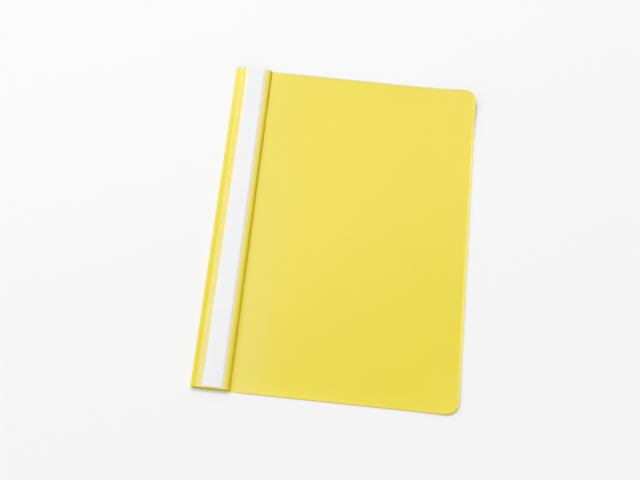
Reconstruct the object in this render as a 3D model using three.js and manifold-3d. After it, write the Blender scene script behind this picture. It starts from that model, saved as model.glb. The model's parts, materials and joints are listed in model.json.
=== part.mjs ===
// A4 fastener folder, closed and lying on its back cover.
// One coloured plastic sheet makes the back cover and, folded over at the spine, the narrow front
// strip. A clear film is welded to the strip: it holds a paper label on the strip and goes on past
// a crease as the front cover. Inside, a welded anchor strip carries a steel two-prong fastener.
// Millimetres. X runs from the spine to the fore edge, Y up the page, Z up from the table.
import * as THREE from "three";
import { mergeVertices } from "three/addons/utils/BufferGeometryUtils.js";
import Module from "manifold-3d";

const wasm = await Module();
wasm.setup();

// Whole folder
const folderWidth = 232;
const folderLength = 310;
const foreCornerRadius = 12;
const cornerSegments = 10;

// Curl of the fore corners: how far the upper and lower corner point would stand up, and how far
// from the corner the sheet starts to rise, along either edge
const upperCurl = 6;
const lowerCurl = 1.5;
const curlReach = 65;
const curlSteps = 8;

// Sheets
const sheetThickness = 0.2;
const filmThickness = 0.15;
const labelThickness = 0.1;

// Gaps between pieces that are not welded
const restGap = 0.05;
const slideGap = 0.1;
const sideGap = 0.15;
const lidGap = 0.3;

// Front strip, measured from the spine's outer edge
const stripEdge = 33.2;
const stripTopInset = 0.5;
const stripBottomInset = 1.4;
const foldSegments = 12;
const foldToStripGap = 0.3;

// Label and its clear pocket
const labelLeft = 10.7;
const labelWidth = 16.3;
const labelEndInset = 0.8;
const pocketLeft = 4;
const pocketRamp = 0.2;
const pocketPlay = 0.2;
const labelUnder = 0.02;
const labelOver = 0.03;

// Crease and front cover
const creaseAt = 33.9;
const creaseToFilm = 0.3;
const creaseToPocket = 0.45;
const coverSlopeLength = 36;
const coverSlopeSteps = 12;
const coverSeam = 1;

// Anchor strip inside the back cover
const fastenerAt = 21;
const anchorEndInset = 5;
const anchorChannelWidth = 13;
const anchorFlangeWidth = 5;
const anchorRamp = 0.6;

// Steel fastener
const prongSpacing = 80;
const prongWidth = 4.5;
const prongLength = 28;
const prongThickness = 0.3;
const prongTipSegments = 8;
const slotPlay = 0.4;
const barThickness = 0.25;
const barLength = 104;
const barEndRadius = 1.5;
const barHoleLength = 2;
const lipWidth = 1.15;
const prongLift = 0.15;
const lockWidth = 8.2;
const lockLength = 8;
const lockSpacing = 9;
const lockThickness = 0.25;
const gripHeight = 0.5;
const gripWidth = 4.8;
const gripLength = 1.6;

// Heights, stacked from the table up
const anchorFlangeTop = 2 * sheetThickness;
const prongBaseBottom = sheetThickness + restGap;
const prongBaseTop = prongBaseBottom + prongThickness;
const channelBottom = prongBaseTop + slideGap;
const channelTop = channelBottom + sheetThickness;
const barBottom = channelTop + restGap;
const barFloor = barBottom + barThickness;
const prongBottom = barFloor + prongLift;
const prongTop = prongBottom + prongThickness;
const lockFoot = barFloor + restGap;
const lockUnderside = prongTop + slideGap;
const lockTop = lockUnderside + lockThickness;
const lipBottom = lockTop + slideGap;
const lipTop = lipBottom + barThickness;
const gripTop = lipTop + gripHeight;
const stripBottom = gripTop + lidGap;
const stripTop = stripBottom + sheetThickness;
const pocketRoof = stripTop + labelUnder + labelThickness + labelOver;
const coverRest = sheetThickness + restGap;

// Widths and lengths that follow from the ones above
const foldRadius = stripTop / 2;
const stripHigh = folderLength / 2 - stripTopInset;
const stripLow = stripBottomInset - folderLength / 2;
const labelRight = labelLeft + labelWidth;
const coverStart = creaseAt + creaseToFilm;
const pocketRight = creaseAt - creaseToPocket;
const barHalfWidth = lockWidth / 2 + sideGap + barThickness;
const lipOpening = barHalfWidth - barThickness - lipWidth;
const prongAt = prongSpacing / 2;

const YELLOW = 0xecd93a;
const STEEL = 0xc9cbc8;

const yellowSheet = () => new THREE.MeshStandardMaterial({ color: YELLOW, roughness: 0.42, metalness: 0 });
const steel = () => new THREE.MeshStandardMaterial({ color: STEEL, roughness: 0.32, metalness: 1 });
const clearFilm = () => new THREE.MeshStandardMaterial({
  color: 0xf6f6f0, roughness: 0.18, metalness: 0, transparent: true, opacity: 0.2,
});
const labelPaper = () => new THREE.MeshStandardMaterial({ color: 0xf4f4f3, roughness: 0.85, metalness: 0 });

// Everything is placed from the spine's outer edge
const folder = new THREE.Group();
folder.position.x = -folderWidth / 2;

function addPiece(name, geometry, material) {
  const mesh = new THREE.Mesh(geometry, material);
  mesh.name = name;
  folder.add(mesh);
}

function outlineOf(corners) {
  return new THREE.Shape(corners.map(([across, up]) => new THREE.Vector2(across, up)));
}

// A cross-section of the folder, given as [x, z] corners, run along Y
function runAlongPage(corners, low, high) {
  const geometry = new THREE.ExtrudeGeometry(outlineOf(corners), { depth: high - low, bevelEnabled: false });
  geometry.rotateX(Math.PI / 2);
  geometry.translate(0, high, 0);
  return geometry;
}

// A flat plate, given as an outline seen from above
function flatPlate(outline, bottom, top, curveSegments = cornerSegments) {
  const geometry = new THREE.ExtrudeGeometry(outline, {
    depth: top - bottom, bevelEnabled: false, curveSegments,
  });
  geometry.translate(0, 0, bottom);
  return geometry;
}

function block(left, right, low, high, bottom, top) {
  const geometry = new THREE.BoxGeometry(right - left, high - low, top - bottom);
  geometry.translate((left + right) / 2, (low + high) / 2, (bottom + top) / 2);
  return geometry;
}

function toSolid(geometry) {
  const bare = geometry.clone();
  bare.deleteAttribute("normal");
  bare.deleteAttribute("uv");
  const merged = mergeVertices(bare, 1e-5);
  return new wasm.Manifold(new wasm.Mesh({
    numProp: 3,
    vertProperties: new Float32Array(merged.attributes.position.array),
    triVerts: new Uint32Array(merged.index.array),
  }));
}

function toGeometry(solid) {
  const mesh = solid.getMesh();
  const geometry = new THREE.BufferGeometry();
  geometry.setAttribute("position", new THREE.BufferAttribute(mesh.vertProperties, 3));
  geometry.setIndex(new THREE.BufferAttribute(mesh.triVerts, 1));
  geometry.computeVertexNormals();
  return geometry;
}

function cutFrom(geometry, cutters) {
  const solid = cutters.reduce((rest, cutter) => rest.subtract(toSolid(cutter)), toSolid(geometry));
  return toGeometry(solid);
}

// The page outline: square at the left edge, rounded at the two fore corners
function pageOutline(left) {
  const right = folderWidth;
  const half = folderLength / 2;
  const round = foreCornerRadius;
  const outline = new THREE.Shape();
  outline.moveTo(left, -half);
  outline.lineTo(right - round, -half);
  outline.absarc(right - round, round - half, round, -Math.PI / 2, 0, false);
  outline.lineTo(right, half - round);
  outline.absarc(right - round, half - round, round, 0, Math.PI / 2, false);
  outline.lineTo(left, half);
  outline.closePath();
  return outline;
}

// The two ends of the page, as the sign of Y
const ends = [["upper", 1], ["lower", -1]];
const curls = { upper: upperCurl, lower: lowerCurl };

// Half of a flat sheet, above or below the middle of the page. Its fore corner curls up as a sheet
// does: bent one way only, along the corner's diagonal, with the square of the distance.
function curledHalf(end, side, left, bottom, top) {
  const half = folderLength / 2;
  const reach = curlReach * Math.SQRT1_2;
  const far = (folderWidth + half) * Math.SQRT1_2 + 1;
  const riseAt = (inward) => curls[end] * (1 - inward / reach) ** 2;
  const along = [...Array(curlSteps + 1).keys()].map((step) => {
    const inward = (reach * step) / curlSteps;
    return [-inward, riseAt(inward)];
  });
  along.push([-far, 0]);
  const under = along.map(([inward, rise]) => [inward, bottom + rise]);
  const over = along.map(([inward, rise]) => [inward, top + rise]).reverse();
  const bent = runAlongPage([...over, ...under], -far, far);
  bent.rotateZ((side * Math.PI) / 4);
  bent.translate(folderWidth, side * half, 0);
  const [low, high] = side > 0 ? [0, half] : [-half, 0];
  const band = block(left, folderWidth, low, high, bottom - 1, top + curls[end] + 1);
  return toSolid(bent).intersect(toSolid(band));
}

function curledSheet(left, bottom, top) {
  const halves = ends.map(([end, side]) => curledHalf(end, side, left, bottom, top));
  return halves[0].add(halves[1]);
}

function pagePrism(left) {
  const high = pocketRoof + Math.max(upperCurl, lowerCurl) + 1;
  return toSolid(flatPlate(pageOutline(left), -1, high));
}

// Back cover: flat on the table from the spine fold to the fore edge, apart from the curled corners
function backCover() {
  return toGeometry(curledSheet(foldRadius, 0, sheetThickness).intersect(pagePrism(foldRadius)));
}

// Spine fold: a half round of the same sheet, from the back cover up to the strip's level
function spineFold() {
  const centre = foldRadius;
  const arc = (radius, step) => {
    const angle = -Math.PI / 2 - (Math.PI * step) / foldSegments;
    return [centre + radius * Math.cos(angle), centre + radius * Math.sin(angle)];
  };
  const steps = [...Array(foldSegments + 1).keys()];
  const outside = steps.map((step) => arc(foldRadius, step));
  const inside = steps.map((step) => arc(foldRadius - sheetThickness, step)).reverse();
  return runAlongPage([...outside, ...inside].reverse(), stripLow, stripHigh);
}

// Front strip: the folded-over end of the sheet
function spineStrip() {
  return block(foldRadius + foldToStripGap, stripEdge, stripLow, stripHigh, stripBottom, stripTop);
}

// Label pocket: film welded to the strip on both sides of the label and raised over it
function labelWindow() {
  const roofTop = pocketRoof + filmThickness;
  const weldTop = stripTop + filmThickness;
  const left = labelLeft - pocketPlay;
  const right = labelRight + pocketPlay;
  return runAlongPage([
    [pocketLeft, stripTop],
    [left - pocketRamp, stripTop],
    [left, pocketRoof],
    [right, pocketRoof],
    [right + pocketRamp, stripTop],
    [pocketRight, stripTop],
    [pocketRight, weldTop],
    [right + 2 * pocketRamp, weldTop],
    [right + pocketRamp, roofTop],
    [left - pocketRamp, roofTop],
    [left - 2 * pocketRamp, weldTop],
    [pocketLeft, weldTop],
  ], stripLow, stripHigh);
}

function labelInsert() {
  const bottom = stripTop + labelUnder;
  return block(labelLeft, labelRight, stripLow + labelEndInset, stripHigh - labelEndInset,
    bottom, bottom + labelThickness);
}

// Front cover: film that slopes down from the crease, then lies on the back cover and curls with it.
// The sloping part runs on level for a short seam inside the lying part, so that both are one film.
function frontCover() {
  const drop = stripTop - coverRest;
  const heightAt = (share) => coverRest + drop * (1 - share * share * (3 - 2 * share));
  const under = [...Array(coverSlopeSteps + 1).keys()].map((step) => {
    const share = step / coverSlopeSteps;
    return [coverStart + coverSlopeLength * share, heightAt(share)];
  });
  under.push([coverStart + coverSlopeLength + coverSeam, coverRest]);
  const over = under.map(([across, up]) => [across, up + filmThickness]).reverse();
  const half = folderLength / 2;
  const slope = toSolid(runAlongPage([...under, ...over], -half, half));
  const flat = curledSheet(coverStart + coverSlopeLength, coverRest, coverRest + filmThickness);
  return toGeometry(slope.add(flat).intersect(pagePrism(coverStart)));
}

// Anchor strip: flanges welded to the back cover, and a channel over the prong base with two slots
function anchorStrip() {
  const inner = anchorChannelWidth / 2;
  const foot = inner + anchorRamp;
  const edge = foot + anchorFlangeWidth;
  const rightHalf = [
    [inner, channelTop],
    [foot, anchorFlangeTop],
    [edge, anchorFlangeTop],
    [edge, sheetThickness],
    [foot - sheetThickness, sheetThickness],
    [inner - sheetThickness, channelBottom],
  ];
  const mirrored = rightHalf.map(([across, up]) => [-across, up]).reverse();
  const corners = [...rightHalf, ...mirrored].map(([across, up]) => [fastenerAt + across, up]).reverse();
  const half = folderLength / 2 - anchorEndInset;
  const slotHalf = prongWidth / 2 + slotPlay;
  const slots = ends.map(([, side]) => block(
    fastenerAt - slotHalf, fastenerAt + slotHalf,
    side * prongAt - prongThickness / 2 - slotPlay, side * prongAt + prongThickness / 2 + slotPlay,
    sheetThickness, channelTop + 1,
  ));
  return cutFrom(runAlongPage(corners, -half, half), slots);
}

// Prong base: a steel band under the anchor strip, its ends turned up through slots and bar holes
function prongBase() {
  const outer = prongAt + prongThickness / 2;
  const inner = prongAt - prongThickness / 2;
  const outline = outlineOf([
    [-outer, prongBaseBottom],
    [outer, prongBaseBottom],
    [outer, barFloor],
    [inner, barFloor],
    [inner, prongBaseTop],
    [-inner, prongBaseTop],
    [-inner, barFloor],
    [-outer, barFloor],
  ]);
  const geometry = new THREE.ExtrudeGeometry(outline, { depth: prongWidth, bevelEnabled: false });
  geometry.rotateX(Math.PI / 2);
  geometry.rotateZ(Math.PI / 2);
  geometry.translate(fastenerAt - prongWidth / 2, 0, 0);
  return geometry;
}

// Prong: a blade with a round tip, folded down along the bar towards the middle of the page
function prong(side) {
  const half = prongWidth / 2;
  const root = prongAt + prongThickness / 2;
  const tip = prongAt - prongLength;
  const outline = new THREE.Shape();
  outline.moveTo(-half, -root);
  outline.lineTo(half, -root);
  outline.lineTo(half, -tip - half);
  outline.absarc(0, -tip - half, half, 0, Math.PI, false);
  outline.closePath();
  const geometry = flatPlate(outline, prongBottom, prongTop, prongTipSegments);
  if (side > 0) {
    geometry.rotateZ(Math.PI);
  }
  geometry.translate(fastenerAt, 0, 0);
  return geometry;
}

// Compressor bar: a channel with inward lips and a hole for each prong
function compressorBar() {
  const wall = barHalfWidth - barThickness;
  const rightHalf = [
    [barHalfWidth, barBottom],
    [barHalfWidth, lipTop],
    [lipOpening, lipTop],
    [lipOpening, lipBottom],
    [wall, lipBottom],
    [wall, barFloor],
  ];
  const mirrored = rightHalf.map(([across, up]) => [-across, up]).reverse();
  const corners = [...rightHalf, ...mirrored].map(([across, up]) => [fastenerAt + across, up]);
  const half = barLength / 2;
  const round = barEndRadius;
  const plan = new THREE.Shape();
  const sides = [[1, -1, -Math.PI / 2], [1, 1, 0], [-1, 1, Math.PI / 2], [-1, -1, Math.PI]];
  for (const [right, up, start] of sides) {
    const centreX = fastenerAt + right * (barHalfWidth - round);
    plan.absarc(centreX, up * (half - round), round, start, start + Math.PI / 2, false);
  }
  plan.closePath();
  const rounded = toSolid(flatPlate(plan, 0, lipTop + 1)).intersect(toSolid(runAlongPage(corners, -half, half)));
  const holeHalf = prongWidth / 2 + slotPlay;
  const holes = ends.map(([, side]) => block(
    fastenerAt - holeHalf, fastenerAt + holeHalf,
    side * prongAt - barHoleLength / 2, side * prongAt + barHoleLength / 2,
    barBottom - 1, barFloor + prongLift,
  ));
  return cutFrom(toGeometry(rounded), holes);
}

// Lock: a slide under the bar's lips, its feet on the bar's floor, with a ridge for the fingernail
function lock(side) {
  const half = lockWidth / 2;
  const foot = half - lockThickness;
  const grip = gripWidth / 2;
  const middle = (side * lockSpacing) / 2;
  const channel = runAlongPage([
    [half, lockFoot],
    [half, lockTop],
    [-half, lockTop],
    [-half, lockFoot],
    [-foot, lockFoot],
    [-foot, lockUnderside],
    [foot, lockUnderside],
    [foot, lockFoot],
  ], middle - lockLength / 2, middle + lockLength / 2);
  const ridge = block(-grip, grip, middle - gripLength / 2, middle + gripLength / 2,
    lockUnderside, gripTop);
  const geometry = toGeometry(toSolid(channel).add(toSolid(ridge)));
  geometry.translate(fastenerAt, 0, 0);
  return geometry;
}

addPiece("back_cover", backCover(), yellowSheet());
addPiece("spine_fold", spineFold(), yellowSheet());
addPiece("spine_strip", spineStrip(), yellowSheet());
addPiece("anchor_strip", anchorStrip(), yellowSheet());
addPiece("prong_base", prongBase(), steel());
addPiece("compressor_bar", compressorBar(), steel());
for (const [end, side] of ends) {
  addPiece(`${end}_prong`, prong(side), steel());
  addPiece(`${end}_lock`, lock(side), steel());
}
addPiece("label_insert", labelInsert(), labelPaper());
addPiece("label_window", labelWindow(), clearFilm());
addPiece("front_cover", frontCover(), clearFilm());

const part = new THREE.Group();
part.add(folder);

export default part;
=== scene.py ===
"""A closed A4 fastener folder: yellow sheet, clear film cover, label strip and steel fastener."""

import json
import logging
import math
from collections.abc import Callable
from dataclasses import dataclass
from enum import Enum

import bmesh
import bpy
from bpy.types import ID, Material, NodeSocket, NodeTree, Object
from mathutils import Matrix, Vector

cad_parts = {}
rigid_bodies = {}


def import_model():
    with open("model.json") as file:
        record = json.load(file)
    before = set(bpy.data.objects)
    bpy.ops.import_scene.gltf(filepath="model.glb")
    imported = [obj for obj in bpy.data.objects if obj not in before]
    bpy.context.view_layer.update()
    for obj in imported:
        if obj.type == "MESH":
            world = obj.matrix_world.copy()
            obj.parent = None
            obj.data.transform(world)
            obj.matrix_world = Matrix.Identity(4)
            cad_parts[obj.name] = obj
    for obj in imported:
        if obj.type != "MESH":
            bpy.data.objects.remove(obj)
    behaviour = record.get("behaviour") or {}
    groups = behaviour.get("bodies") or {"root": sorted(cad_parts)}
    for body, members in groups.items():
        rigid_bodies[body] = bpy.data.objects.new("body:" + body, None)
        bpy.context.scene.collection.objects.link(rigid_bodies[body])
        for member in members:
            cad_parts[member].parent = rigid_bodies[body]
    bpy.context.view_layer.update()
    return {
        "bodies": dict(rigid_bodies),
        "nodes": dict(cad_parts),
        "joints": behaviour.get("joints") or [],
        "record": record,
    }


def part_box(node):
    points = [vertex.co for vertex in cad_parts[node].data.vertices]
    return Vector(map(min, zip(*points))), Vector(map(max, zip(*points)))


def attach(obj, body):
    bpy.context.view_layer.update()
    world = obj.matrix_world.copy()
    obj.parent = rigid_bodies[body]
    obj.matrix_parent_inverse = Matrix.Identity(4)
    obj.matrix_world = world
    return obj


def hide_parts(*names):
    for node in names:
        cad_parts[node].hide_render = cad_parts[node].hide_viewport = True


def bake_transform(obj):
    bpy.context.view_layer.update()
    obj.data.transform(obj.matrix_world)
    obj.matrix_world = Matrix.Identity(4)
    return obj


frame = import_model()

MM = 0.001
PAGE_MAP = "Page"
WELD = 1e-7
PLASTIC_IOR = 1.49

Colour = tuple[float, float, float, float]
Span = tuple[float, float]
FaceTest = Callable[[Vector], bool]

log = logging.getLogger("folder")


class PageEnd(Enum):
    """The two ends of the page, with the sign of Y."""

    UPPER = 1
    LOWER = -1


class Axis(Enum):
    """The two directions that a sheet is cut across, with the number of the coordinate."""

    X = 0
    Y = 1

    def normal(self) -> Vector:
        """The direction, one long."""
        return Vector((self is Axis.X, self is Axis.Y, 0))


class Shade:
    """A shader output that takes part in arithmetic, each operation being one Math node."""

    def __init__(self, book: "NodeBook", socket: NodeSocket) -> None:
        """Keep the output that this value stands for, and the book of its tree."""
        self.book = book
        self.socket = socket

    def _combine(self, operation: str, first: "Shade | float", second: "Shade | float") -> "Shade":
        """Join two values with one Math node."""
        return self.book.add("ShaderNodeMath", {"operation": operation}, {0: first, 1: second})

    def __add__(self, other: "Shade | float") -> "Shade":
        """Sum."""
        return self._combine("ADD", self, other)

    __radd__ = __add__

    def __sub__(self, other: "Shade | float") -> "Shade":
        """Difference."""
        return self._combine("SUBTRACT", self, other)

    def __rsub__(self, other: float) -> "Shade":
        """Difference from a number."""
        return self._combine("SUBTRACT", other, self)

    def __mul__(self, other: "Shade | float") -> "Shade":
        """Product."""
        return self._combine("MULTIPLY", self, other)

    __rmul__ = __mul__

    def __pow__(self, other: float) -> "Shade":
        """Power."""
        return self._combine("POWER", self, other)

    def larger(self, other: "Shade | float") -> "Shade":
        """The larger of this value and another."""
        return self._combine("MAXIMUM", self, other)


class NodeBook:
    """A node tree that finishes write their nodes into."""

    MIX_FACTOR = 0
    MIX_FIRST = 6
    MIX_SECOND = 7
    MIX_RESULT = 2

    def __init__(self, tree: NodeTree) -> None:
        """Take the tree of a material or of the world, and empty it."""
        self.tree = tree
        tree.nodes.clear()

    def add(
        self, kind: str, settings: dict[str, object], sockets: dict[str | int, object],
        out: str | int = 0,
    ) -> Shade:
        """Add one node.

        Args:
            kind: the node's type.
            settings: its properties, which are set first.
            sockets: values or links of its inputs, by name or number.
            out: the output that is wanted.

        Returns:
            That output.
        """
        node = self.tree.nodes.new(kind)
        for name, value in settings.items():
            setattr(node, name, value)
        for name, value in sockets.items():
            if isinstance(value, Shade):
                self.tree.links.new(value.socket, node.inputs[name])
            else:
                node.inputs[name].default_value = value
        return Shade(self, node.outputs[out] if node.outputs else None)

    def page(self) -> Shade:
        """The place on the piece's own page map, in metres."""
        return self.add("ShaderNodeUVMap", {"uv_map": PAGE_MAP}, {}, "UV")

    def coordinate(self, place: Shade, axis: Axis) -> Shade:
        """One coordinate of a place."""
        return self.add("ShaderNodeSeparateXYZ", {}, {0: place}, axis.name)

    def stretched(self, place: Shade, scale: float) -> Shade:
        """The place scaled along the page."""
        return self.add("ShaderNodeMapping", {}, {"Vector": place, "Scale": (1.0, scale, 1.0)})

    def noise(self, place: Shade, size: float, detail: float) -> Shade:
        """Soft noise between 0 and 1, with spots of a size in metres."""
        sockets = {"Vector": place, "Scale": 1 / size, "Detail": detail}
        return self.add("ShaderNodeTexNoise", {}, sockets, "Fac")

    def ramped(self, value: Shade, start: float, end: float) -> Shade:
        """A smooth step from 0 at start to 1 at end."""
        sockets = {"Value": value, "From Min": start, "From Max": end}
        return self.add("ShaderNodeMapRange", {"interpolation_type": "SMOOTHSTEP"}, sockets)

    def blended(self, share: Shade | float, first: object, second: object) -> Shade:
        """A mix of two colours or links: the first where the share is 0, the second at 1."""
        colours = {self.MIX_FACTOR: share, self.MIX_FIRST: first, self.MIX_SECOND: second}
        return self.add("ShaderNodeMix", {"data_type": "RGBA"}, colours, self.MIX_RESULT)

    def bump(self, height: Shade, depth: float, under: Shade | None = None) -> Shade:
        """A normal from a height map.

        Args:
            height: the height, between 0 and 1.
            depth: how deep that is, in metres.
            under: a normal that it is laid over.

        Returns:
            The normal.
        """
        sockets = {"Height": height, "Distance": depth, "Strength": 1.0}
        if under is not None:
            sockets["Normal"] = under
        return self.add("ShaderNodeBump", {}, sockets, "Normal")

    def finish(self, surface: Shade) -> None:
        """Link the surface to the material's output."""
        self.add("ShaderNodeOutputMaterial", {}, {"Surface": surface})


def linked(name: str, data: ID) -> Object:
    """Put an object in the scene.

    Args:
        name: its name.
        data: its mesh, lamp or camera.

    Returns:
        The object.
    """
    made = bpy.data.objects.new(name, data)
    bpy.context.scene.collection.objects.link(made)
    return made


def new_material(name: str) -> tuple[Material, NodeBook]:
    """Make an empty material.

    Args:
        name: its name.

    Returns:
        The material and its node book.
    """
    material = bpy.data.materials.new(name)
    material.use_nodes = True
    return material, NodeBook(material.node_tree)


@dataclass(frozen=True)
class YellowSheetFinish:
    """Opaque yellow plastic sheet, finely grained, with painted shade: deeper orange at the crease
    and darker round the fold.
    """

    crease: float
    # painted shade: the crease colour stands in for the shade in the crease; it is not the sheet's
    # own colour
    crease_shade_reach: float = 1.2 * MM
    painted_crease_shade_colour: Colour = (0.91, 0.66, 0.005, 1)
    # painted shade: the fold span and fold colour darken the sheet round the fold, standing in for
    # the shade there
    painted_fold_shade_span: tuple[float, float, float] = (-9.2 * MM, -7.0 * MM, 0.0)
    painted_fold_shade_colour: Colour = (0.735, 0.628, 0.014, 1)
    colour: Colour = (0.86, 0.725, 0.011, 1)
    deep_colour: Colour = (0.84, 0.695, 0.009, 1)
    roughness: float = 0.36
    grain_roughness: float = 0.12
    cloud_roughness: float = 0.08
    cloud_size: float = 45 * MM
    grain_size: float = 0.45 * MM
    grain_depth: float = 0.006 * MM
    wave_size: float = 30 * MM
    wave_depth: float = 0.12 * MM

    def build(self) -> Material:
        """Make the material.

        Returns:
            The material.
        """
        material, book = new_material("yellow_sheet")
        page = book.page()
        cloud = book.noise(page, self.cloud_size, detail=3)
        grain = book.noise(page, self.grain_size, detail=1)
        waves = book.noise(page, self.wave_size, detail=1)
        fine = book.bump(grain, self.grain_depth)
        across = book.coordinate(page, Axis.X)
        # painted shade: the sheet turns deeper orange over the last stretch before the crease
        crease_shade = book.ramped(across, self.crease + self.crease_shade_reach, self.crease)
        # painted shade: the folded mask darkens a band round the fold and fades back to the
        # sheet's own colour on both sides
        shade_start, bent, flat = self.painted_fold_shade_span
        folded = book.ramped(across, shade_start, bent) * book.ramped(across, flat, bent)
        clouded = book.blended(cloud, self.colour, self.deep_colour)
        uneven = self.grain_roughness * (grain - 0.5) + self.cloud_roughness * (cloud - 0.5)
        surface = book.add("ShaderNodeBsdfPrincipled", {}, {
            "Base Color": book.blended(
                crease_shade, book.blended(folded, clouded, self.painted_fold_shade_colour), self.painted_crease_shade_colour
            ),
            "Roughness": self.roughness + uneven,
            "IOR": PLASTIC_IOR,
            "Normal": book.bump(waves, self.wave_depth, fine),
        })
        book.finish(surface)
        return material


@dataclass(frozen=True)
class WeldBand:
    """A milky band along the page: at a weld, at the fore edge, and as painted highlight and
    painted reflection.
    """

    rise: Span
    fall: Span
    upper_share: float
    lower_share: float

    def share(self, book: NodeBook, across: Shade, downward: Shade) -> Shade:
        """How much of the light each side of the film scatters, at a place across and down it."""
        band = book.ramped(across, *self.rise) - book.ramped(across, *self.fall)
        return band * (self.upper_share + (self.lower_share - self.upper_share) * downward)


@dataclass(frozen=True)
class FilmFinish:
    """Clear film that reflects on both of its sides, milky where it is welded, with bands of
    painted highlight and painted reflection.
    """

    weld_and_painted_bands: tuple[WeldBand, ...]
    half_length: float
    colour: Colour = (0.98, 0.98, 0.97, 1)
    roughness: float = 0.12
    handled_roughness: float = 0.05
    weld_roughness: float = 2.0
    mirror: float = 0.95
    weld_mirror: float = 0.05
    facing_share: float = 0.041
    fresnel_power: float = 5.0
    rib_density: float = 320.0
    rib_wander: float = 0.4
    rib_height: float = 2.0
    handling_size: float = 12 * MM
    handling_stretch: float = 0.35
    ripple_size: float = 50 * MM
    relief_depth: float = 0.08 * MM

    def build(self) -> Material:
        """Make the material.

        Returns:
            The material.
        """
        material, book = new_material("clear_film")
        page = book.page()
        across, up = book.coordinate(page, Axis.X), book.coordinate(page, Axis.Y)
        downward = book.ramped(up, self.half_length, -self.half_length)
        bands = [weld.share(book, across, downward) for weld in self.weld_and_painted_bands]
        # the sum holds the real weld and fore-edge haze together with the painted highlight and
        # painted reflection bands
        weld = sum(bands[1:], bands[0])
        ribs = book.add(
            "ShaderNodeTexWave",
            {"wave_type": "BANDS", "bands_direction": "Y"},
            {"Vector": page, "Scale": self.rib_density, "Distortion": self.rib_wander},
            "Fac",
        )
        stretched = book.stretched(page, self.handling_stretch)
        handled = book.noise(stretched, self.handling_size, detail=4)
        ripple = book.noise(page, self.ripple_size, detail=1)
        edge_on = book.add("ShaderNodeLayerWeight", {}, {"Blend": 0.5}, "Facing")
        fresnel = (1 - self.facing_share) * edge_on ** self.fresnel_power
        share = self.facing_share + fresnel + weld
        unhazed = (1 - weld * (1 / self.facing_share)).larger(self.weld_mirror)
        rough = self.handled_roughness * handled + self.weld_roughness * weld
        film = book.add("ShaderNodeBsdfPrincipled", {}, {
            "Base Color": self.colour,
            "Metallic": self.mirror * unhazed,
            "Roughness": self.roughness + rough,
            "IOR": PLASTIC_IOR,
            "Normal": book.bump(ribs * weld * self.rib_height + ripple, self.relief_depth),
        })
        clear = book.add("ShaderNodeBsdfTransparent", {}, {})
        book.finish(book.add("ShaderNodeMixShader", {}, {0: share, 1: clear, 2: film}))
        return material


@dataclass(frozen=True)
class LabelFinish:
    """White uncoated paper with a faint cloudy formation."""

    colour: Colour = (0.87, 0.87, 0.88, 1)
    cloud_colour: Colour = (0.84, 0.84, 0.855, 1)
    roughness: float = 0.75
    fibre_roughness: float = 0.1
    fibre_stretch: float = 0.4
    fibre_size: float = 0.6 * MM
    fibre_depth: float = 0.012 * MM
    cloud_size: float = 10 * MM

    def build(self) -> Material:
        """Make the material.

        Returns:
            The material.
        """
        material, book = new_material("label_paper")
        page = book.page()
        stretched = book.stretched(page, self.fibre_stretch)
        fibres = book.noise(stretched, self.fibre_size, detail=3)
        cloud = book.noise(page, self.cloud_size, detail=3)
        surface = book.add("ShaderNodeBsdfPrincipled", {}, {
            "Base Color": book.blended(cloud, self.colour, self.cloud_colour),
            "Roughness": self.roughness + self.fibre_roughness * fibres,
            "Normal": book.bump(fibres, self.fibre_depth),
        })
        book.finish(surface)
        return material


@dataclass(frozen=True)
class SteelFinish:
    """Zinc-plated steel band, rolled lengthways, with dull clouds."""

    colour: Colour = (0.66, 0.66, 0.645, 1)
    dull_colour: Colour = (0.52, 0.52, 0.52, 1)
    roughness: float = 0.27
    cloud_roughness: float = 0.14
    streak_roughness: float = 0.08
    streak_stretch: float = 0.03
    streak_size: float = 0.25 * MM
    streak_depth: float = 0.008 * MM
    cloud_size: float = 4 * MM

    def build(self) -> Material:
        """Make the material.

        Returns:
            The material.
        """
        material, book = new_material("fastener_steel")
        page = book.page()
        stretched = book.stretched(page, self.streak_stretch)
        streaks = book.noise(stretched, self.streak_size, detail=3)
        cloud = book.noise(page, self.cloud_size, detail=3)
        uneven = self.cloud_roughness * cloud + self.streak_roughness * streaks
        surface = book.add("ShaderNodeBsdfPrincipled", {}, {
            "Base Color": book.blended(cloud, self.colour, self.dull_colour),
            "Metallic": 1.0,
            "Roughness": self.roughness + uneven,
            "Normal": book.bump(streaks, self.streak_depth),
        })
        book.finish(surface)
        return material


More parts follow.
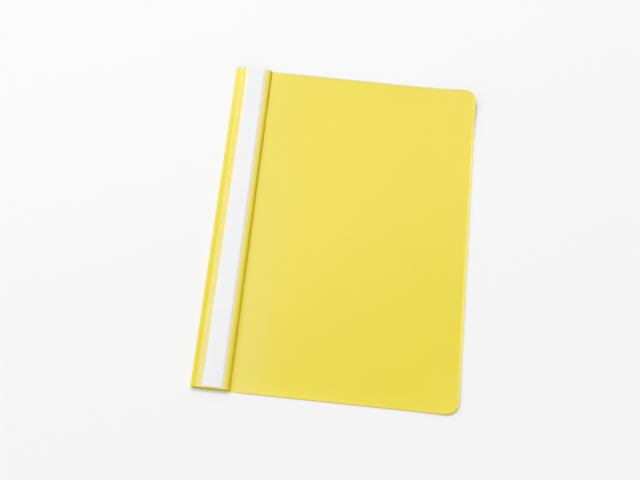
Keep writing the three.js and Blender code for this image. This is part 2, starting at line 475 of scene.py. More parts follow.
@dataclass(frozen=True)
class FolderPlan:
    """Places that the pieces share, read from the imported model, in metres."""

    spine: float
    fore_edge: float
    page_low: float
    page_high: float
    fold_radius: float
    strip_edge: float
    strip_low: float
    strip_high: float
    strip_top: float
    sheet: float
    pocket_left: float
    pocket_roof: float
    label_left: float
    label_right: float
    crease: float
    cover_start: float
    cover_rest: float
    film: float = 0.15 * MM
    corner_radius: float = 12 * MM
    curl_reach: float = 65 * MM
    upper_curl: float = 5.9 * MM
    lower_curl: float = 1.5 * MM
    edge_reach: float = 3.5 * MM
    edge_lift: float = 0.5 * MM
    end_reach: float = 14 * MM
    end_lift: float = 0.5 * MM
    strip_lap: float = 0.15 * MM
    upper_strip_gain: float = 0.4 * MM
    lower_strip_gain: float = 0.5 * MM
    label_gain: float = 0.5 * MM
    bow_reach: float = 8 * MM
    bow_depth: float = 0.35 * MM
    shoulder_reach: float = 6 * MM
    shoulder_slope: float = 0.24
    bend_before: float = 2.0 * MM
    bend_after: float = 2.8 * MM
    crease_lead: float = 0.7 * MM
    crease_slope: float = 0.62
    slope_length: float = 36 * MM
    rim_gap: float = 0.03 * MM

    @classmethod
    def from_frame(cls, loaded: dict) -> "FolderPlan":
        """Read the shared places.


        Returns:
            The plan.
        """
        fold_low, fold_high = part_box("spine_fold")
        strip_low, strip_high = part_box("spine_strip")
        window_low, window_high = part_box("label_window")
        label_low, label_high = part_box("label_insert")
        back_low, back_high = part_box("back_cover")
        cover_low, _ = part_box("front_cover")
        crease = next(j for j in loaded["joints"] if j["name"] == "crease_hinge")
        return cls(
            spine=fold_low.x,
            fore_edge=back_high.x - cls.rim_gap,
            page_low=back_low.y + cls.rim_gap,
            page_high=back_high.y - cls.rim_gap,
            fold_radius=fold_high.x - fold_low.x,
            strip_edge=strip_high.x,
            strip_low=strip_low.y - cls.lower_strip_gain,
            strip_high=strip_high.y + cls.upper_strip_gain,
            strip_top=strip_high.z,
            sheet=strip_high.z - strip_low.z,
            pocket_left=window_low.x,
            pocket_roof=window_high.z,
            label_left=label_low.x - cls.label_gain,
            label_right=label_high.x,
            crease=crease["pos_m"][0],
            cover_start=cover_low.x,
            cover_rest=cover_low.z,
        )

    def rise(self, x: float, y: float) -> float:
        """How far both sheets stand up at a place: at the curled corners and the free edges.

        Args:
            x: the place's X.
            y: its Y.

        Returns:
            The height.
        """
        half = self.page_high if y > 0 else -self.page_low
        curl = self.upper_curl if y > 0 else self.lower_curl
        inward, endward = self.fore_edge - x, half - abs(y)
        corner = max(1 - (inward + endward) / self.curl_reach, 0.0)
        edge = max(1 - inward / self.edge_reach, 0.0)
        end = max(1 - endward / self.end_reach, 0.0)
        free = min(max((x - self.crease) / self.end_reach, 0.0), 1.0)
        lift = self.edge_lift * edge ** 2 + self.end_lift * free * end ** 2
        return curl * corner ** 2 + lift * (1 - corner)

    def bow(self, x: float) -> float:
        """How far the front strip lies lower near the fold."""
        share = (x - self.spine - self.fold_radius) / self.bow_reach
        return self.bow_depth * (1 - min(max(share, 0.0), 1.0)) ** 2

    def drop(self, x: float) -> float:
        """How far film and strip have come down at a place, bent at the crease.

        Args:
            x: the place.

        Returns:
            The height lost from the strip's level.
        """
        start, shoulder = self.crease - self.shoulder_reach, self.crease - self.bend_before
        steep, end = self.crease - self.crease_lead, self.crease + self.bend_after
        rest = self.cover_start + self.slope_length
        bent = self.shoulder_slope * (steep - start) + self.crease_slope * (end - shoulder)
        gentle = (2 * (self.strip_top - self.cover_rest) - bent) / (rest - steep)
        knots = [
            (start, 0.0), (shoulder, self.shoulder_slope), (steep, self.crease_slope),
            (end, gentle), (rest, 0.0),
        ]
        lost = 0.0
        for (x0, slope0), (x1, slope1) in zip(knots, knots[1:]):
            reach = min(max(x - x0, 0.0), x1 - x0)
            lost += slope0 * reach + (slope1 - slope0) * reach ** 2 / (2 * (x1 - x0))
        return lost

    def at(self, inset: float) -> float:
        """The X of a place that lies inset from the spine's outer edge."""
        return self.spine + inset

    def crease_on_map(self) -> float:
        """Where the crease lies across the folded sheet's page map."""
        return self.at(self.fold_radius) - self.crease - math.pi * self.fold_radius


class Ribbon:
    """A thin sheet, drawn as a cross-section in X and Z and then swept along the page."""

    LIFT_CUTS = 4
    CORNER_SEGMENTS = 12

    def __init__(self, x: float, z: float) -> None:
        """Start the cross-section at an X and a height."""
        self.bm = bmesh.new()
        self.tip = self.bm.verts.new((x, 0, z))

    def line_to(self, x: float, z: float, pieces: int = 1) -> "Ribbon":
        """Go on straight.

        Args:
            x: where the line ends.
            z: how high it ends.
            pieces: how many edges it has.

        Returns:
            The ribbon.
        """
        step = (Vector((x, 0, z)) - self.tip.co) / pieces
        for _ in range(pieces):
            made = bmesh.ops.extrude_vert_indiv(self.bm, verts=[self.tip])
            self.tip = made["verts"][0]
            bmesh.ops.translate(self.bm, verts=[self.tip], vec=step)
        return self

    def arc(self, x: float, z: float, degrees: float, pieces: int) -> "Ribbon":
        """Go on round a centre.

        Args:
            x: the centre's X.
            z: the centre's height.
            degrees: the angle, positive from +Z towards +X.
            pieces: how many edges it has.

        Returns:
            The ribbon.
        """
        made = bmesh.ops.spin(
            self.bm, geom=[self.tip], cent=(x, 0, z), axis=(0, 1, 0), dvec=(0, 0, 0),
            angle=math.radians(degrees), steps=pieces, use_merge=False, use_duplicate=False,
        )
        self.tip = next(g for g in made["geom_last"] if isinstance(g, bmesh.types.BMVert))
        return self

    def sweep(self, low: float, high: float) -> None:
        """Turn the cross-section into a sheet along Y.

        Args:
            low: where the sheet starts.
            high: where it ends.
        """
        bmesh.ops.translate(self.bm, verts=self.bm.verts[:], vec=(0, low, 0))
        made = bmesh.ops.extrude_edge_only(self.bm, edges=self.bm.edges[:])
        moved = [g for g in made["geom"] if isinstance(g, bmesh.types.BMVert)]
        bmesh.ops.translate(self.bm, verts=moved, vec=(0, high - low, 0))

    def slice(self, axis: Axis, place: float, only: FaceTest | None = None) -> None:
        """Cut the sheet square to an axis.

        Args:
            axis: the axis.
            place: the X or Y of the cut.
            only: a test on a face's centre that picks the faces that are cut.
        """
        faces = [f for f in self.bm.faces if only is None or only(f.calc_center_median())]
        edges = {e for f in faces for e in f.edges}
        verts = {v for f in faces for v in f.verts}
        bmesh.ops.bisect_plane(
            self.bm, geom=[*verts, *edges, *faces], dist=WELD,
            plane_co=axis.normal() * place, plane_no=axis.normal(),
        )

    def remove(self, gone: FaceTest) -> None:
        """Delete the faces whose centre passes a test."""
        faces = [f for f in self.bm.faces if gone(f.calc_center_median())]
        bmesh.ops.delete(self.bm, geom=faces, context="FACES")

    def trim(self, end: PageEnd, y: float, only: FaceTest) -> None:
        """Cut the faces that pass a test across the page, and delete what lies beyond the cut."""
        self.slice(Axis.Y, y, only)
        self.remove(lambda centre: only(centre) and (centre.y - y) * end.value > 0)

    def punch(self, low: Vector, high: Vector) -> None:
        """Cut a rectangular hole through the faces between two corners.

        Args:
            low: the lowest corner of what goes.
            high: its highest corner.
        """
        for axis in Axis:
            for corner in (low, high):
                self.slice(axis, corner[axis.value])
        self.remove(lambda c: all(low[i] < c[i] < high[i] for i in range(3)))

    def grid(self, pitch_x: float, pitch_y: float, start_x: float, end_x: float) -> None:
        """Cut the sheet into a grid.

        Args:
            pitch_x: about how wide its columns are.
            pitch_y: about how high its rows are.
            start_x: where the columns start.
            end_x: where they end.
        """
        ys = [v.co.y for v in self.bm.verts]
        spans = (start_x, end_x, pitch_x), (min(ys), max(ys), pitch_y)
        for axis, (start, end, pitch) in zip(Axis, spans):
            count = round((end - start) / pitch)
            for i in range(1, count):
                self.slice(axis, start + (end - start) * i / count)

    def refine_edges(self, plan: FolderPlan) -> None:
        """Cut the grid finer where the free edges lift.

        Args:
            plan: the shared places.
        """
        for i in range(1, self.LIFT_CUTS + 1):
            share = i / self.LIFT_CUTS
            self.slice(Axis.X, plan.fore_edge - plan.edge_reach * share)
            self.slice(Axis.Y, plan.page_high - plan.end_reach * share)
            self.slice(Axis.Y, plan.page_low + plan.end_reach * share)

    def round_corners(self, place: float, radius: float, axis: Axis = Axis.X) -> None:
        """Round the sheet's corners that lie at one X, or at one Y.

        Args:
            place: where the corners are.
            radius: their radius.
            axis: which of the two that is.
        """
        near = 10 * WELD
        corners = [
            v for v in self.bm.verts
            if abs(v.co[axis.value] - place) < near and len(v.link_edges) == 2
        ]
        bmesh.ops.bevel(
            self.bm, geom=corners, offset=radius, offset_type="OFFSET",
            segments=self.CORNER_SEGMENTS, profile=0.5, affect="VERTICES", material=-1,
            clamp_overlap=False,
        )

    def shape(self, move: Callable[[Vector], Vector]) -> None:
        """Move each vertex by a rule that gives its new place."""
        for vertex in self.bm.verts:
            vertex.co = move(vertex.co)

    def place_at(self, x: float) -> None:
        """Move the sheet, drawn round X = 0, to its X."""
        bmesh.ops.translate(self.bm, verts=self.bm.verts[:], vec=(x, 0, 0))

    def turn(self, end: PageEnd) -> None:
        """Turn a cross-section that was drawn along X towards one of the page's ends."""
        quarter = Matrix.Rotation(end.value * math.pi / 2, 3, "Z")
        bmesh.ops.rotate(self.bm, verts=self.bm.verts[:], cent=(0, 0, 0), matrix=quarter)

    def map_page(self, unfold: Callable[[Vector], Span]) -> None:
        """Write the page map.

        Args:
            unfold: the rule that unfolds a point onto the page, in metres.
        """
        layer = self.bm.loops.layers.uv.new(PAGE_MAP)
        for face in self.bm.faces:
            face.smooth = True
            for loop in face.loops:
                loop[layer].uv = unfold(loop.vert.co)

    def piece(self, name: str, material: Material, thickness: float, slot: str) -> Object:
        """Make the object.

        Args:
            name: its name.
            material: its finish.
            thickness: the thickness that the sheet gets, half on each side.
            slot: the material slot of the record; not used.

        Returns:
            The object.
        """
        bmesh.ops.recalc_face_normals(self.bm, faces=self.bm.faces[:])
        for edge in self.bm.edges:
            edge.smooth = not edge.is_boundary
        mesh = bpy.data.meshes.new(name)
        self.bm.to_mesh(mesh)
        self.bm.free()
        mesh.materials.append(material)
        made = linked(name, mesh)
        solid = made.modifiers.new("thickness", "SOLIDIFY")
        solid.thickness = thickness
        solid.offset = 0
        solid.use_even_offset = True
        return made


@dataclass
class YellowSheet:
    """The back cover, the spine fold and the front strip: one sheet, parted just past the fold."""

    plan: FolderPlan
    finish: Material
    pitch: float = 5 * MM
    strip_pieces: int = 24
    bend_pieces: int = 18
    fold_pieces: int = 16
    seam_gap: float = 0.6 * MM
    blend_height: float = 2.6 * MM
    blend_lean: float = 0.09
    tuck_reach: float = 1.5 * MM
    tuck_depth: float = 1.0 * MM

    def build(self) -> list[Object]:
        """Model the back, and the strip with its fold."""
        return [self._back(), self._strip()]

    def _back(self) -> Object:
        """Model the back cover from the seam to the fore edge.

        Returns:
            The piece.
        """
        plan = self.plan
        middle = plan.sheet / 2
        ribbon = Ribbon(self._seam(), middle).line_to(plan.strip_edge, middle)
        ribbon.line_to(plan.fore_edge, middle)
        ribbon.sweep(plan.page_low, plan.page_high)
        ribbon.round_corners(plan.fore_edge, plan.corner_radius)
        ribbon.grid(self.pitch, self.pitch, plan.strip_edge, plan.fore_edge)
        ribbon.refine_edges(plan)
        ribbon.map_page(self._unfolded)
        ribbon.shape(lambda at: at + Vector((0, 0, plan.rise(at.x, at.y))))
        piece = ribbon.piece("back_sheet", self.finish, plan.sheet, "yellow_sheet")
        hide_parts("back_cover")
        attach(piece, "back")
        return piece

    def _strip(self) -> Object:
        """Model the front strip from its free edge round the fold to the seam.

        Returns:
            The piece.
        """
        plan = self.plan
        middle = plan.sheet / 2
        centre = plan.at(plan.fold_radius)
        level = plan.strip_top - middle
        ribbon = Ribbon(plan.crease + plan.strip_lap, level)
        ribbon.line_to(plan.crease - plan.shoulder_reach, level, self.bend_pieces)
        ribbon.line_to(centre, level, self.strip_pieces)
        ribbon.arc(centre, plan.fold_radius, -180, self.fold_pieces)
        ribbon.line_to(self._seam(), middle)
        ribbon.sweep(plan.strip_low, plan.strip_high)
        ribbon.map_page(self._unfolded)
        ribbon.shape(self._settled)
        piece = ribbon.piece("strip_sheet", self.finish, plan.sheet, "yellow_sheet")
        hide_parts("spine_fold", "spine_strip")
        start = Vector((self._seam(), 0, plan.sheet))
        reach = Vector((self.blend_lean, 0, 1)) * self.blend_height
        start + reach
        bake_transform(piece)
        return piece

    def _seam(self) -> float:
        """The X where the sheet's two pieces meet."""
        return self.plan.at(self.plan.fold_radius) + self.seam_gap

    def _unfolded(self, at: Vector) -> Span:
        """Where a point lies when the sheet is opened out flat.

        Args:
            at: a point of the folded sheet.

        Returns:
            Metres from the fold's lower line, towards the fore edge, and metres up the page.
        """
        radius = self.plan.fold_radius
        beyond = at.x - self.plan.at(radius)
        if beyond > 0 and at.z < radius:
            return beyond, at.y
        angle = math.atan2(max(-beyond, 0.0), radius - at.z)
        return -radius * angle - max(beyond, 0.0), at.y

    def _settled(self, at: Vector) -> Vector:
        """Bow the strip towards the fold and the crease, and tuck its free edge under the film.

        Args:
            at: a point of the flat strip or of the fold.

        Returns:
            Where it lies.
        """
        plan = self.plan
        middle = plan.strip_top - plan.sheet / 2
        share = max((at.z - plan.fold_radius) / (middle - plan.fold_radius), 0.0)
        edge = plan.crease + plan.strip_lap
        tuck = self.tuck_depth * max(1 - (edge - at.x) / self.tuck_reach, 0.0) ** 2
        return at - Vector((0, 0, share * (plan.bow(at.x) + plan.drop(at.x) + tuck)))


@dataclass(frozen=True)
class Buckle:
    """A soft ridge in the film, from one place on the page to another."""

    start: Span
    end: Span
    width: float
    height: float
    fullness: float = 0.6

    def rise(self, inset: float, up: float) -> float:
        """How far the ridge lifts the film at a place.

        Args:
            inset: the place's distance from the spine's outer edge.
            up: its place up the page.

        Returns:
            The lift.
        """
        start = Vector(self.start)
        line = Vector(self.end) - start
        place = Vector((inset, up)) - start
        share = place.dot(line) / line.length_squared
        off = abs(place.cross(line)) / line.length / self.width
        if off >= 1 or not 0 < share < 1:
            return 0.0
        crown = 0.5 + 0.5 * math.cos(math.pi * off)
        return self.height * crown * math.sin(math.pi * share ** self.fullness)


@dataclass
class ClearFilm:
    """The label pocket and the front cover: one film welded to the front strip."""

    plan: FolderPlan
    pitch: float = 2.5 * MM
    # left band: a real milky weld that is also painted reflection, whiter down the page and rising
    # already beside the fold
    left_weld_and_painted_reflection: WeldBand = WeldBand((4.0 * MM, 7.5 * MM), (10.6 * MM, 11.0 * MM), 0.03, 0.15)
    right_weld: WeldBand = WeldBand((26.8 * MM, 27.1 * MM), (27.3 * MM, 31.0 * MM), 0.24, 0.2)
    # painted highlight: a milky band beside the crease, stronger down the page, standing in for
    # light the film reflects there
    painted_highlight_band: WeldBand = WeldBand((35 * MM, 39 * MM), (44 * MM, 76 * MM), 0.004, 0.032)
    rim_haze: WeldBand = WeldBand((229.5 * MM, 232 * MM), (240 * MM, 241 * MM), 0.12, 0.12)
    swell_end: float = 7.6 * MM
    weld_gap: float = 0.015 * MM
    edge_swell: float = 0.04 * MM
    ramp: float = 0.3 * MM
    crease_half: float = 0.55 * MM
    slope_pieces: int = 30
    buckles: tuple[Buckle, ...] = (
        Buckle((33 * MM, -55 * MM), (98 * MM, -106 * MM), 12 * MM, 0.55 * MM),
        Buckle((33 * MM, -136 * MM), (56 * MM, -152 * MM), 8 * MM, 0.3 * MM),
        Buckle((62 * MM, 92 * MM), (78 * MM, -8 * MM), 12 * MM, 0.25 * MM),
    )

    def build(self) -> list[Object]:
        """Model the film from its edge beside the spine, over the label and down to the fore edge.

        Returns:
            The piece.
        """
        plan = self.plan
        half = plan.film / 2
        welded = plan.strip_top + half + self.weld_gap
        roof = plan.pocket_roof - half
        slope_end = plan.cover_start + plan.slope_length
        stops = (
            (plan.at(self.swell_end), welded, 10),
            (plan.label_left - 2 * self.ramp, welded, 4),
            (plan.label_left - self.ramp, roof, 1),
            (plan.label_right + self.ramp, roof, 8),
            (plan.label_right + 2 * self.ramp, welded, 1),
            (plan.crease - plan.shoulder_reach, welded, 1),
            (plan.crease - plan.bend_before, welded, 10),
            (plan.crease, welded, 8),
            (plan.crease + plan.bend_after, welded, 12),
            (slope_end, welded, self.slope_pieces),
            (plan.fore_edge, welded, 1),
        )
        ribbon = Ribbon(plan.pocket_left, welded)
        for x, z, pieces in stops:
            ribbon.line_to(x, z, pieces)
        ribbon.sweep(plan.page_low, plan.page_high)
        ribbon.round_corners(plan.fore_edge, plan.corner_radius)
        ribbon.trim(PageEnd.UPPER, plan.strip_high, self._on_strip)
        ribbon.trim(PageEnd.LOWER, plan.strip_low, self._on_strip)
        ribbon.grid(self.pitch, self.pitch, slope_end, plan.fore_edge)
        ribbon.refine_edges(plan)
        ribbon.map_page(lambda at: (at.x - plan.spine, at.y))
        ribbon.shape(self._settled)
        hazes = (self.left_weld_and_painted_reflection, self.right_weld, self.painted_highlight_band, self.rim_haze)
        finish = FilmFinish(hazes, plan.page_high).build()
        piece = ribbon.piece("clear_film", finish, plan.film, "clear_film")
        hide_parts("label_window", "front_cover")
        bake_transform(piece)
        return [piece]

    def _on_strip(self, centre: Vector) -> bool:
        """Whether a face lies on the front strip."""
        return centre.x < self.plan.strip_edge

    def _settled(self, at: Vector) -> Vector:
        """Lay the film down: swelling at its edge, bent at the crease, buckled and curled.

        Args:
            at: a point of the film, flat at the strip's level.

        Returns:
            Where it lies.
        """
        plan = self.plan
        height = at.z - plan.bow(at.x) - plan.drop(at.x)
        swell_end = plan.at(self.swell_end)
        if at.x < swell_end:
            share = (at.x - plan.pocket_left) / (swell_end - plan.pocket_left)
            height += self.edge_swell * math.sin(math.pi * share)
        if at.x > plan.crease:
            height += plan.rise(at.x, at.y)
            height += sum(b.rise(at.x - plan.spine, at.y) for b in self.buckles)
        return Vector((at.x, at.y, height))


@dataclass
class LabelInsert:
    """The white paper strip in the pocket."""

    plan: FolderPlan
    upper_inset: float = 0.1 * MM

    def build(self) -> list[Object]:
        """Model the paper.

        Returns:
            The piece.
        """
        low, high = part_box("label_insert")
        middle = (low.z + high.z) / 2
        ribbon = Ribbon(self.plan.label_left, middle).line_to(high.x, middle, 4)
        ribbon.sweep(low.y, self.plan.strip_high - self.upper_inset)
        ribbon.map_page(lambda at: (at.x - self.plan.spine, at.y))
        piece = ribbon.piece("paper_label", LabelFinish().build(), high.z - low.z, "label_paper")
        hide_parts("label_insert")
        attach(piece, "label")
        return [piece]


@dataclass
class AnchorBand:
    """The plastic band welded inside the back cover, with a raised channel and two slots."""

    plan: FolderPlan
    finish: Material
    channel_half: float = 6.4 * MM
    foot_half: float = 7.0 * MM
    lift: float = 0.01 * MM
    corner_radius: float = 2.5 * MM
    slot_half: float = 2.65 * MM
    slot_length: float = 1.1 * MM
    weld_band: Span = (8.4 * MM, 10.9 * MM)
    weld_pitch: float = 1.25 * MM
    weld_depth: float = 0.06 * MM

    def build(self) -> list[Object]:
        """Model the band.

        Returns:
            The piece.
        """
        low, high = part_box("anchor_strip")
        middle = (low.x + high.x) / 2
        half = (high.x - low.x) / 2
        flange = low.z + self.plan.sheet / 2 + self.lift
        roof = high.z - self.plan.sheet / 2
        near, far = self.weld_band
        ribbon = Ribbon(-half, flange)
        ribbon.line_to(-far, flange).line_to(-near, flange, 4).line_to(-self.foot_half, flange)
        ribbon.line_to(-self.channel_half, roof, 3).line_to(self.channel_half, roof, 4)
        ribbon.line_to(self.foot_half, flange, 3)
        ribbon.line_to(near, flange).line_to(far, flange, 4).line_to(half, flange)
        ribbon.sweep(low.y, high.y)
        for side in (-half, half):
            ribbon.round_corners(side, self.corner_radius)
        ribbon.grid(half, self.weld_pitch, -half, half)
        prong_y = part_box("upper_prong")[1].y
        for end in PageEnd:
            centre = Vector((0, end.value * prong_y, roof))
            reach = Vector((self.slot_half, self.slot_length / 2, self.plan.sheet))
            ribbon.punch(centre - reach, centre + reach)
        ribbon.map_page(lambda at: (at.x, at.y))
        ribbon.shape(self._welded)
        ribbon.place_at(middle)
        piece = ribbon.piece("anchor_band", self.finish, self.plan.sheet, "yellow_sheet")
        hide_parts("anchor_strip")
        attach(piece, "back")
        return [piece]

    def _welded(self, at: Vector) -> Vector:
        """Press the weld's row of dimples into the flanges.

        Args:
            at: a point of the band.

        Returns:
            Where it lies.
        """
        near, far = self.weld_band
        in_band = near + WELD < abs(at.x) < far - WELD
        pressed = in_band and round(at.y / self.weld_pitch) % 2 == 0
        return at - Vector((0, 0, self.weld_depth if pressed else 0))


@dataclass
class SteelFastener:
    """The two-prong fastener: a base band, two prongs, a pressure bar and two slides on it."""

    finish: Material
    band: float = 0.3 * MM
    plate: float = 0.25 * MM
    bend: float = 0.3 * MM
    bar_low_bend: float = 0.35 * MM
    bar_high_bend: float = 0.45 * MM
    bar_tongue: float = 2.5 * MM
    tongue_radius: float = 2 * MM
    lip_lap: float = 1 * MM
    hole_half: float = 2.65 * MM
    hole_length: float = 2 * MM
    base_pieces: int = 12
    bend_pieces: int = 5
    roll_pieces: int = 6
    blade_pieces: int = 14
    blade_crown: float = 0.08 * MM
    blade_columns: float = 0.75 * MM
    slide_bend: float = 0.3 * MM
    slide_gap: float = 0.1 * MM
    grip_top_half: Span = (2.3 * MM, 0.45 * MM)
    grip_foot_half: Span = (2.75 * MM, 1.1 * MM)

    def build(self) -> list[Object]:
        """Model the fastener's pieces.

        Returns:
            The pieces.
        """
        pieces = [self._base(), self._bar()]
        for end in PageEnd:
            pieces.append(self._prong(end))
            pieces.append(self._slide(end))
        return pieces

    def _finished(
        self, ribbon: Ribbon, name: str, thickness: float, node: str, body: str | None
    ) -> Object:
        """Make one piece of the fastener.

        Args:
            ribbon: its shape.
            name: its name.
            thickness: the steel's thickness.
            node: the node that it replaces.
            body: the body that it rides on, or None, which leaves it attached to no body.

        Returns:
            The piece.
        """
        piece = ribbon.piece(name, self.finish, thickness, "fastener_steel")
        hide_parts(node)
        if body:
            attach(piece, body)
        return piece

    def _base(self) -> Object:
        """Model the base band with its two upturned ends.

        Returns:
            The piece.
        """
        low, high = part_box("prong_base")
        x = (low.x + high.x) / 2
        half = (high.x - low.x) / 2
        floor = low.z + self.band / 2
        reach = high.y - self.band / 2
        ribbon = Ribbon(-reach, high.z - self.band / 2).line_to(-reach, floor + self.bend)
        ribbon.arc(-reach + self.bend, floor + self.bend, -90, self.bend_pieces)
        ribbon.line_to(reach - self.bend, floor, self.base_pieces)
        ribbon.arc(reach - self.bend, floor + self.bend, -90, self.bend_pieces)
        ribbon.line_to(reach, high.z - self.band / 2).sweep(-half, half)
        ribbon.map_page(lambda at: (at.y, at.x))
        ribbon.turn(PageEnd.UPPER)
        ribbon.place_at(x)
        return self._finished(ribbon, "fastener_base", self.band, "prong_base", "back")

    def _prong(self, end: PageEnd) -> Object:
        """Model one prong, from inside the bar's hole over the bend to its round tip.

        Args:
            end: which prong.

        Returns:
            The piece.
        """
        name = end.name.lower()
        low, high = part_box(f"{name}_prong")
        x = (low.x + high.x) / 2
        half = (high.x - low.x) / 2
        level = (low.z + high.z) / 2
        root = max(abs(low.y), abs(high.y)) - self.band / 2
        tip = min(abs(low.y), abs(high.y))
        foot = level - self.bend
        ribbon = Ribbon(root, foot - self.band / 3).line_to(root, foot)
        ribbon.arc(root - self.bend, foot, -90, self.roll_pieces)
        ribbon.line_to(tip, level, self.blade_pieces).sweep(-half, half)
        ribbon.round_corners(tip, half - WELD)
        count = round(2 * half / self.blade_columns)
        for i in range(1, count):
            ribbon.slice(Axis.Y, -half + i * 2 * half / count)
        ribbon.map_page(lambda at: (at.y, at.x))
        crowned = root - 2 * self.bend
        ribbon.shape(lambda at: at + Vector((
            0, 0, self.blade_crown * (1 - (at.y / half) ** 2) if at.x < crowned else 0
        )))
        ribbon.turn(end)
        ribbon.place_at(x)
        piece = self._finished(ribbon, f"{name}_prong_blade", self.band, f"{name}_prong", None)
        side = end.value
        side * root
        side * (root - self.bend)
        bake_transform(piece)
        return piece

    def _bar(self) -> Object:
        """Model the pressure bar: a channel with rolled lips, flat tongues and two holes.

        Returns:
            The piece.
        """
        low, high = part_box("compressor_bar")
        x = (low.x + high.x) / 2
        wall = (high.x - low.x - self.plate) / 2
        floor = low.z + self.plate / 2
        lip = high.z - self.plate / 2
        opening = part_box("upper_lock")[1].x - x - self.lip_lap
        near, over = self.bar_low_bend, self.bar_high_bend
        bent, rolled = self.bend_pieces, self.roll_pieces
        ribbon = Ribbon(-opening, lip).line_to(over - wall, lip, 2)
        ribbon.arc(over - wall, lip - over, -90, rolled).line_to(-wall, floor + near)
        ribbon.arc(near - wall, floor + near, -90, bent).line_to(wall - near, floor, 4)
        ribbon.arc(wall - near, floor + near, -90, bent).line_to(wall, lip - over)
        ribbon.arc(wall - over, lip - over, -90, rolled).line_to(opening, lip, 2)
        ribbon.sweep(low.y, high.y)
        prong_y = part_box("upper_prong")[1].y - self.band / 2
        for end in PageEnd:
            side = end.value
            ribbon.trim(end, side * (high.y - self.bar_tongue), lambda c: c.z > floor + WELD)
            ribbon.round_corners(side * high.y, self.tongue_radius, Axis.Y)
            centre = Vector((0, side * prong_y, floor))
            reach = Vector((self.hole_half, self.hole_length / 2, self.plate))
            ribbon.punch(centre - reach, centre + reach)
        ribbon.map_page(lambda at: (at.x, at.y))
        ribbon.place_at(x)
        return self._finished(ribbon, "pressure_bar", self.plate, "compressor_bar", "back")

    def _slide(self, end: PageEnd) -> Object:
        """Model one slide: a bridge over the prong, with a ridge for the fingernail.

        Args:
            end: which slide.

        Returns:
            The piece.
        """
        name = end.name.lower()
        low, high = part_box(f"{name}_lock")
        x = (low.x + high.x) / 2
        middle = (low.y + high.y) / 2
        wall = (high.x - low.x - self.plate) / 2
        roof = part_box("compressor_bar")[1].z - self.plate - self.slide_gap - self.plate / 2
        bend, bent = self.slide_bend, self.bend_pieces
        ribbon = Ribbon(-wall, low.z).line_to(-wall, roof - bend, 2)
        ribbon.arc(bend - wall, roof - bend, 90, bent).line_to(wall - bend, roof, 2)
        ribbon.arc(wall - bend, roof - bend, 90, bent).line_to(wall, low.z, 2)
        ribbon.sweep(low.y, high.y)
        for axis, centre in zip(Axis, (0.0, middle)):
            for halves in (self.grip_top_half, self.grip_foot_half):
                for side in (-1, 1):
                    where = centre + side * halves[axis.value]
                    ribbon.slice(axis, where, lambda c: c.z > roof - WELD)
        ridge = high.z - self.plate / 2 - roof
        top = self.grip_top_half
        ribbon.map_page(lambda at: (at.x, at.y))
        ribbon.shape(lambda at: at + Vector((
            0, 0, ridge if abs(at.x) < top[0] + WELD and abs(at.y - middle) < top[1] + WELD else 0
        )))
        ribbon.place_at(x)
        return self._finished(ribbon, f"{name}_slide", self.plate, f"{name}_lock", f"lock_{name}")


@dataclass(frozen=True)
class RoomPatch:
    """A darker patch of the room, round one direction."""

    towards: tuple[float, float, float]
    inner_angle: float
    outer_angle: float
    depth: float

    def veil(self, book: NodeBook, heading: Shade) -> Shade:
        """How much of the light the patch leaves.

        Args:
            book: the world's node book.
            heading: the direction that is looked in.

        Returns:
            1 outside the patch, and 1 less its depth inside.
        """
        sockets = {0: heading, 1: self.towards}
        nearness = book.add("ShaderNodeVectorMath", {"operation": "DOT_PRODUCT"}, sockets, "Value")
        inner = math.cos(math.radians(self.inner_angle))
        outer = math.cos(math.radians(self.outer_angle))
        return 1 - self.depth * book.ramped(nearness, outer, inner)


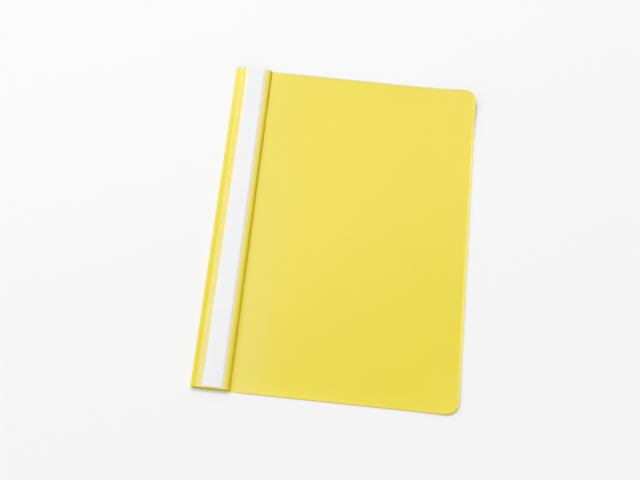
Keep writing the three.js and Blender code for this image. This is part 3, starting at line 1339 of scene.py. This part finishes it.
@dataclass
class Studio:
    """A pale table, a soft lamp at the upper left, the room round it and the camera above."""

    table_colour: Colour = (0.87, 0.87, 0.875, 1)
    table_roughness: float = 0.7
    table_gloss: float = 0.1
    table_size: float = 8.0
    table_drop: float = 0.1 * MM
    azimuth: float = 1.533
    elevation: float = 71.94
    distance: float = 0.8089
    target: tuple[float, float, float] = (-0.0185, -0.0101, 0.0)
    roll: float = 4.512
    lens: float = 50.0
    sensor: float = 36.0
    sight: Span = (0.01, 50.0)
    room_level: float = 1.21
    patches: tuple[RoomPatch, ...] = (
        RoomPatch((0.25, -0.05, 0.967), 14.0, 29.0, 0.52),
        RoomPatch((0.82, 0.32, 0.47), 20.0, 34.0, 0.98),
        RoomPatch((-0.10, -0.75, 0.65), 20.0, 60.0, 0.55),
        RoomPatch((-0.05, 0.62, 0.78), 8.0, 22.0, 0.3),
    )
    lamp_place: tuple[float, float, float] = (-1.65, 3.15, 3.5)
    lamp_size: float = 1.0
    lamp_power: float = 98.0

    def build(self) -> None:
        """Make the table, the light and the camera."""
        self._table()
        self._world()
        self._lamp()
        self._camera()
        bpy.context.scene.view_settings.view_transform = "Standard"

    def _table(self) -> None:
        """Make the table."""
        bm = bmesh.new()
        bmesh.ops.create_grid(bm, x_segments=1, y_segments=1, size=self.table_size / 2)
        bmesh.ops.translate(bm, verts=bm.verts[:], vec=(0, 0, -self.table_drop))
        mesh = bpy.data.meshes.new("table")
        bm.to_mesh(mesh)
        bm.free()
        material, book = new_material("table")
        book.finish(book.add("ShaderNodeBsdfPrincipled", {}, {
            "Base Color": self.table_colour,
            "Roughness": self.table_roughness,
            "Specular IOR Level": self.table_gloss,
        }))
        mesh.materials.append(material)
        linked("table", mesh)

    def _world(self) -> None:
        """Surround the table with soft white light, with the darker patches of the room."""
        world = bpy.data.worlds.new("room")
        bpy.context.scene.world = world
        world.use_nodes = True
        book = NodeBook(world.node_tree)
        heading = book.add("ShaderNodeTexCoord", {}, {}, "Generated")
        strength = self.room_level
        for patch in self.patches:
            strength = patch.veil(book, heading) * strength
        light = book.add("ShaderNodeBackground", {}, {"Color": (1, 1, 1, 1), "Strength": strength})
        book.add("ShaderNodeOutputWorld", {}, {"Surface": light})

    def _lamp(self) -> None:
        """Hang a square soft lamp that faces the folder."""
        data = bpy.data.lights.new("window_lamp", "AREA")
        data.shape = "SQUARE"
        data.size = self.lamp_size
        data.energy = self.lamp_power
        lamp = linked("window_lamp", data)
        lamp.location = self.lamp_place
        lamp.rotation_euler = (-Vector(self.lamp_place)).to_track_quat("-Z", "Y").to_euler()

    def _camera(self) -> None:
        """Stand the camera where the folder was seen from."""
        azimuth, elevation = math.radians(self.azimuth), math.radians(self.elevation)
        back = Vector((
            math.sin(azimuth) * math.cos(elevation),
            -math.cos(azimuth) * math.cos(elevation),
            math.sin(elevation),
        ))
        right = Vector((0, 0, 1)).cross(back).normalized()
        upward = back.cross(right)
        roll = math.radians(self.roll)
        tilted_right = right * math.cos(roll) + upward * math.sin(roll)
        tilted_up = upward * math.cos(roll) - right * math.sin(roll)
        data = bpy.data.cameras.new("camera")
        data.lens = self.lens
        data.sensor_width = self.sensor
        data.clip_start, data.clip_end = self.sight
        camera = linked("camera", data)
        turn = Matrix((tilted_right, tilted_up, back)).transposed().to_4x4()
        camera.matrix_world = Matrix.Translation(Vector(self.target) + back * self.distance) @ turn
        bpy.context.scene.camera = camera


def main() -> None:
    """Build the studio and the folder's pieces in order."""
    logging.basicConfig(level=logging.INFO, format="%(message)s")
    plan = FolderPlan.from_frame(frame)
    yellow = YellowSheetFinish(plan.crease_on_map()).build()
    steel = SteelFinish().build()
    Studio().build()
    assemblies = (
        YellowSheet(plan, yellow),
        ClearFilm(plan),
        LabelInsert(plan),
        AnchorBand(plan, yellow),
        SteelFastener(steel),
    )
    for assembly in assemblies:
        for piece in assembly.build():
            log.info("%s: %d faces", piece.name, len(piece.data.polygons))


if __name__ == "__main__":
    main()
